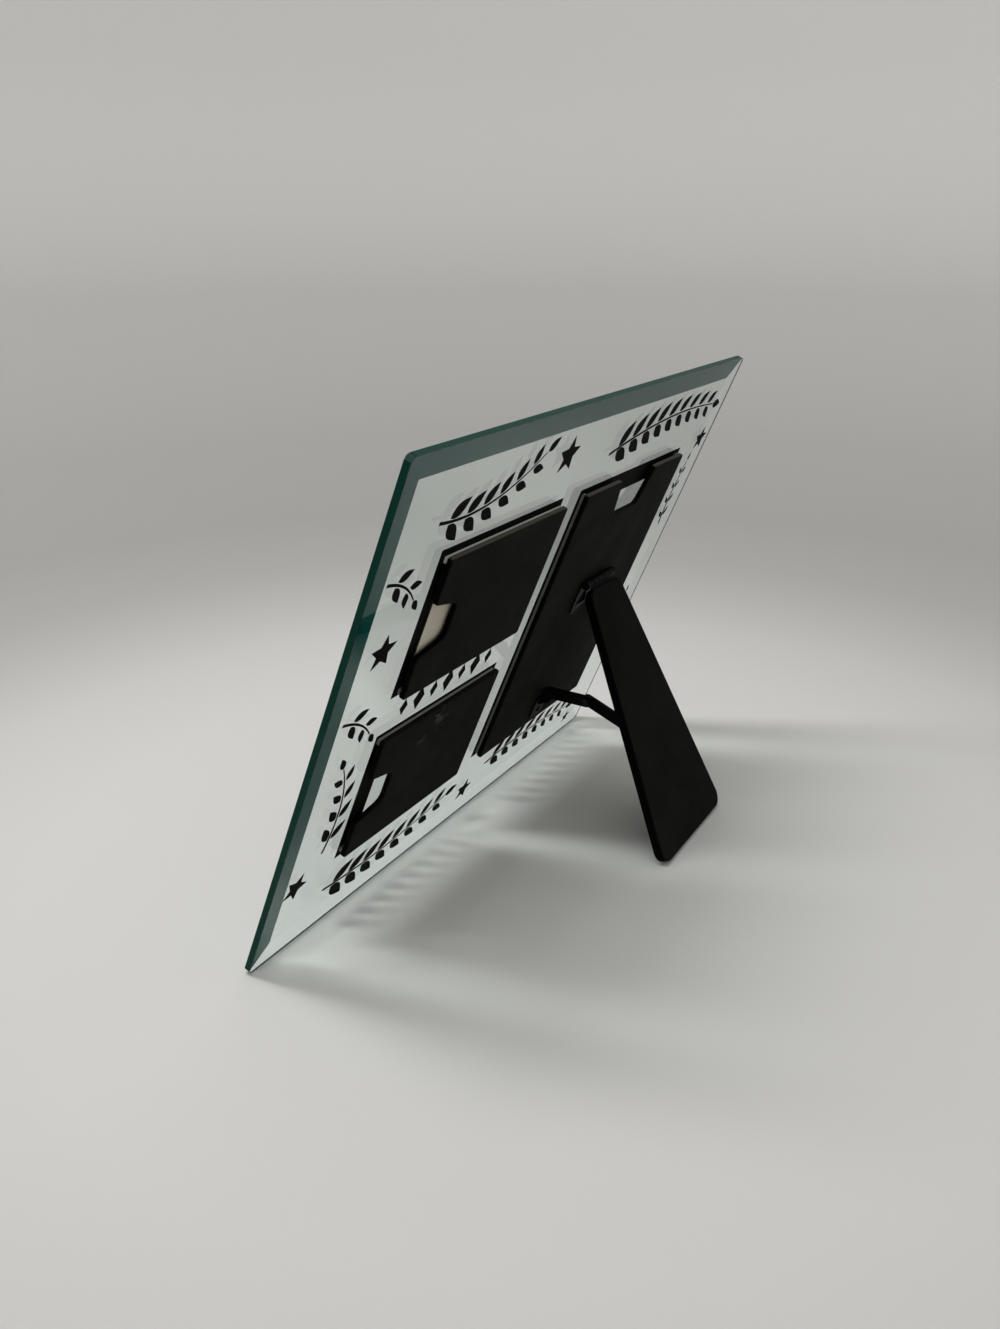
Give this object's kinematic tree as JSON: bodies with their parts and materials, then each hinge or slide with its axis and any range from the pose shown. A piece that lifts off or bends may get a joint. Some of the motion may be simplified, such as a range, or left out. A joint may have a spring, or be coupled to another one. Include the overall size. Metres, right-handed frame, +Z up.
{
  "type": "collage picture frame",
  "caption": "Bevelled glass collage picture frame with notched back pockets for prints, standing on a hinged easel leg held open by a folding stay.",
  "frame": {"origin": "on the table, in the middle of the ground rectangle that the standing frame covers", "axes": "+Z up; the picture side faces -Y and leans back towards +Y, where the easel leg stands; +X runs along the glass, to the left when it is seen from behind"},
  "size_m": [0.305, 0.1226, 0.2311],
  "materials": {
    "float_glass": "clear green-edged float glass, ground and polished bevel",
    "black_wrap": "fibreboard wrapped in matt black paper",
    "pale_strip": "pale card strip, glued on both sides",
    "cream_card": "cream backing card",
    "black_steel": "sheet steel, black lacquered",
    "bare_steel": "darkened steel rivet"
  },
  "bodies": {
    "frame": {"glass_panel": "float_glass", "upper_board": "black_wrap", "lower_board": "black_wrap", "portrait_board": "black_wrap", "hinge_board_leaf": "black_steel", "hinge_pin": "black_steel", "stay_board_bracket": "black_steel", "stay_board_rivet": "bare_steel", "upper_spacer_bottom": "pale_strip", "upper_spacer_top": "pale_strip", "upper_spacer_end": "pale_strip", "lower_spacer_bottom": "pale_strip", "lower_spacer_top": "pale_strip", "lower_spacer_end": "pale_strip", "portrait_spacer_left": "pale_strip", "portrait_spacer_right": "pale_strip", "portrait_spacer_bottom": "pale_strip"},
    "leg": {"easel_leg": "black_wrap", "hinge_leg_leaf": "black_steel", "stay_leg_bracket": "black_steel", "stay_leg_rivet": "bare_steel"},
    "board_bar": {"stay_board_bar": "black_steel", "stay_middle_rivet_left": "bare_steel"},
    "leg_bar": {"stay_leg_bar": "black_steel", "stay_middle_rivet_right": "bare_steel"},
    "insert": {"photo_insert": "cream_card"}
  },
  "joints": [
    {"name": "leg_hinge", "type": "hinge", "parent": "frame", "child": "leg", "pos_m": [-0.05325, 0.00124, 0.13008], "axis": [1, 0, 0], "range_deg": [-37, 0]},
    {"name": "board_bar_hinge", "type": "hinge", "parent": "frame", "child": "board_bar", "pos_m": [-0.05325, -0.02518, 0.06202], "axis": [1, 0, 0], "range_deg": [0, 68.03]},
    {"name": "leg_bar_hinge", "type": "hinge", "parent": "leg", "child": "leg_bar", "pos_m": [-0.05325, 0.03193, 0.04739], "axis": [1, 0, 0], "range_deg": [-41.91, 0]},
    {"name": "insert_slide", "type": "slide", "parent": "frame", "child": "insert", "axis": [1, 0, 0], "range_m": [0, 0.084]}
  ],
  "couplings": [
    {"joint": "board_bar_hinge", "follows": "leg_hinge", "ratio": -1.8374},
    {"joint": "leg_bar_hinge", "follows": "leg_hinge", "ratio": 1.1314}
  ]
}
